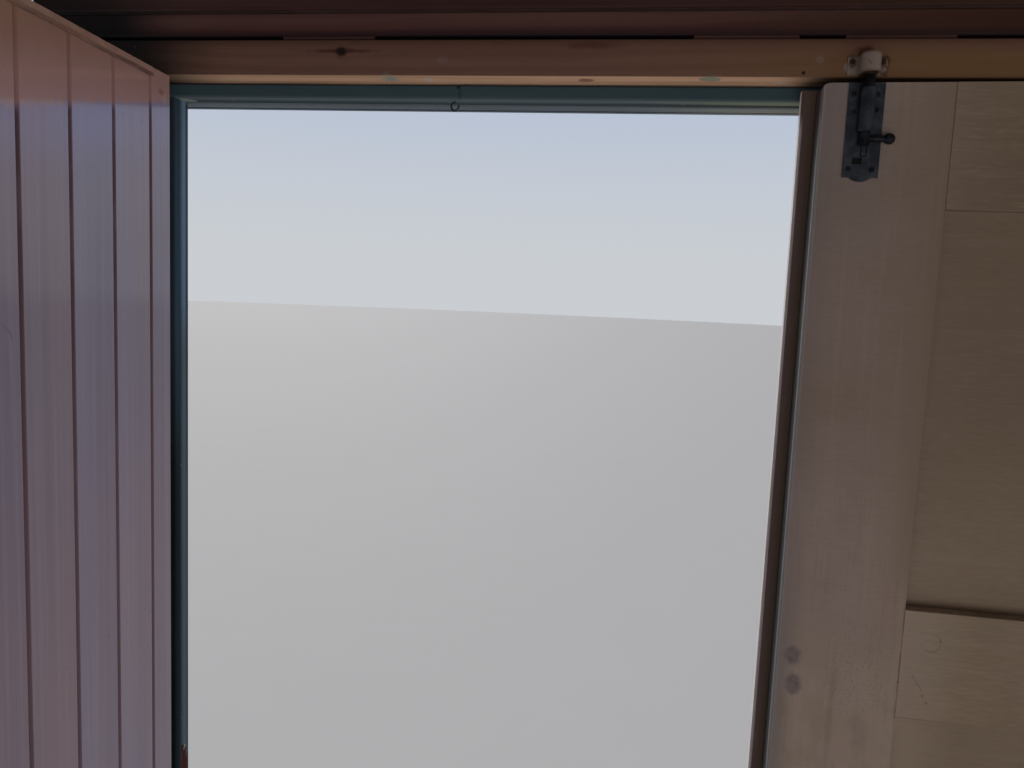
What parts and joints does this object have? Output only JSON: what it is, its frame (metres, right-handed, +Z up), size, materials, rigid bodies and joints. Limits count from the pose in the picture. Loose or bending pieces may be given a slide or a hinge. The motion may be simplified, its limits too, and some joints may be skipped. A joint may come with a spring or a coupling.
{
  "type": "beach hut doorway",
  "caption": "Timber doorway with a pair of inward-opening framed and boarded leaves, a header beam, green stops and casings, and a tower bolt on the right leaf.",
  "frame": {"origin": "middle of the threshold's underside, below the meeting line of the leaves, in the plane of the posts' inner faces", "axes": "+X to the right as seen from inside, +Y outwards, +Z up"},
  "size_m": [1.885, 0.9282, 2.009],
  "materials": {
    "frame_paint": "dark teal-green gloss paint on timber, worn at the arrises",
    "bare_pine": "bare planed pine with knots",
    "brown_timber": "bare aged brown timber",
    "leaf_frame_paint": "off-white satin paint on timber",
    "leaf_board_paint": "pinkish-white gloss paint on V-jointed boards",
    "aged_steel": "dark aged steel",
    "hinge_steel": "plain steel",
    "keeper_paint": "white paint over steel, rusting at the screws"
  },
  "bodies": {
    "frame": {"threshold": "frame_paint", "left_post": "frame_paint", "right_post": "frame_paint", "header_beam": "bare_pine", "head_stop": "frame_paint", "left_stop": "frame_paint", "right_stop": "frame_paint", "head_drip": "frame_paint", "left_casing": "frame_paint", "right_casing": "frame_paint", "front_fascia": "frame_paint", "head_packers": "brown_timber", "head_batten": "brown_timber", "upper_board_low": "brown_timber", "upper_board_high": "brown_timber", "upper_studs": "brown_timber", "bolt_keeper": "keeper_paint", "cup_hook": "aged_steel", "left_frame_hinges": "hinge_steel", "right_frame_hinges": "hinge_steel"},
    "left_leaf": {"left_hinge_stile": "leaf_frame_paint", "left_meeting_stile": "leaf_frame_paint", "left_top_rail": "leaf_frame_paint", "left_middle_rail": "leaf_frame_paint", "left_bottom_rail": "leaf_frame_paint", "left_upper_panel": "leaf_frame_paint", "left_lower_panel": "leaf_frame_paint", "left_boards": "leaf_board_paint", "left_leaf_hinges": "hinge_steel"},
    "right_leaf": {"right_hinge_stile": "leaf_frame_paint", "right_meeting_stile": "leaf_frame_paint", "right_top_rail": "leaf_frame_paint", "right_middle_rail": "leaf_frame_paint", "right_bottom_rail": "leaf_frame_paint", "right_upper_panel": "leaf_frame_paint", "right_lower_panel": "leaf_frame_paint", "right_boards": "leaf_board_paint", "right_leaf_hinges": "hinge_steel", "right_cover_strip": "leaf_board_paint", "bolt_plate": "aged_steel"},
    "bolt": {"bolt_rod": "aged_steel"}
  },
  "joints": [
    {"name": "left_leaf_hinge", "type": "hinge", "parent": "frame", "child": "left_leaf", "pos_m": [-0.805, -0.0135, 0.9], "axis": [0, 0, -1], "range_deg": [-85, 10]},
    {"name": "right_leaf_hinge", "type": "hinge", "parent": "frame", "child": "right_leaf", "pos_m": [0.805, -0.0135, 0.9], "axis": [0, 0, 1], "range_deg": [0, 95]},
    {"name": "bolt_slide", "type": "slide", "parent": "right_leaf", "child": "bolt", "axis": [0, 0, 1], "range_m": [-0.018, 0.017]}
  ]
}
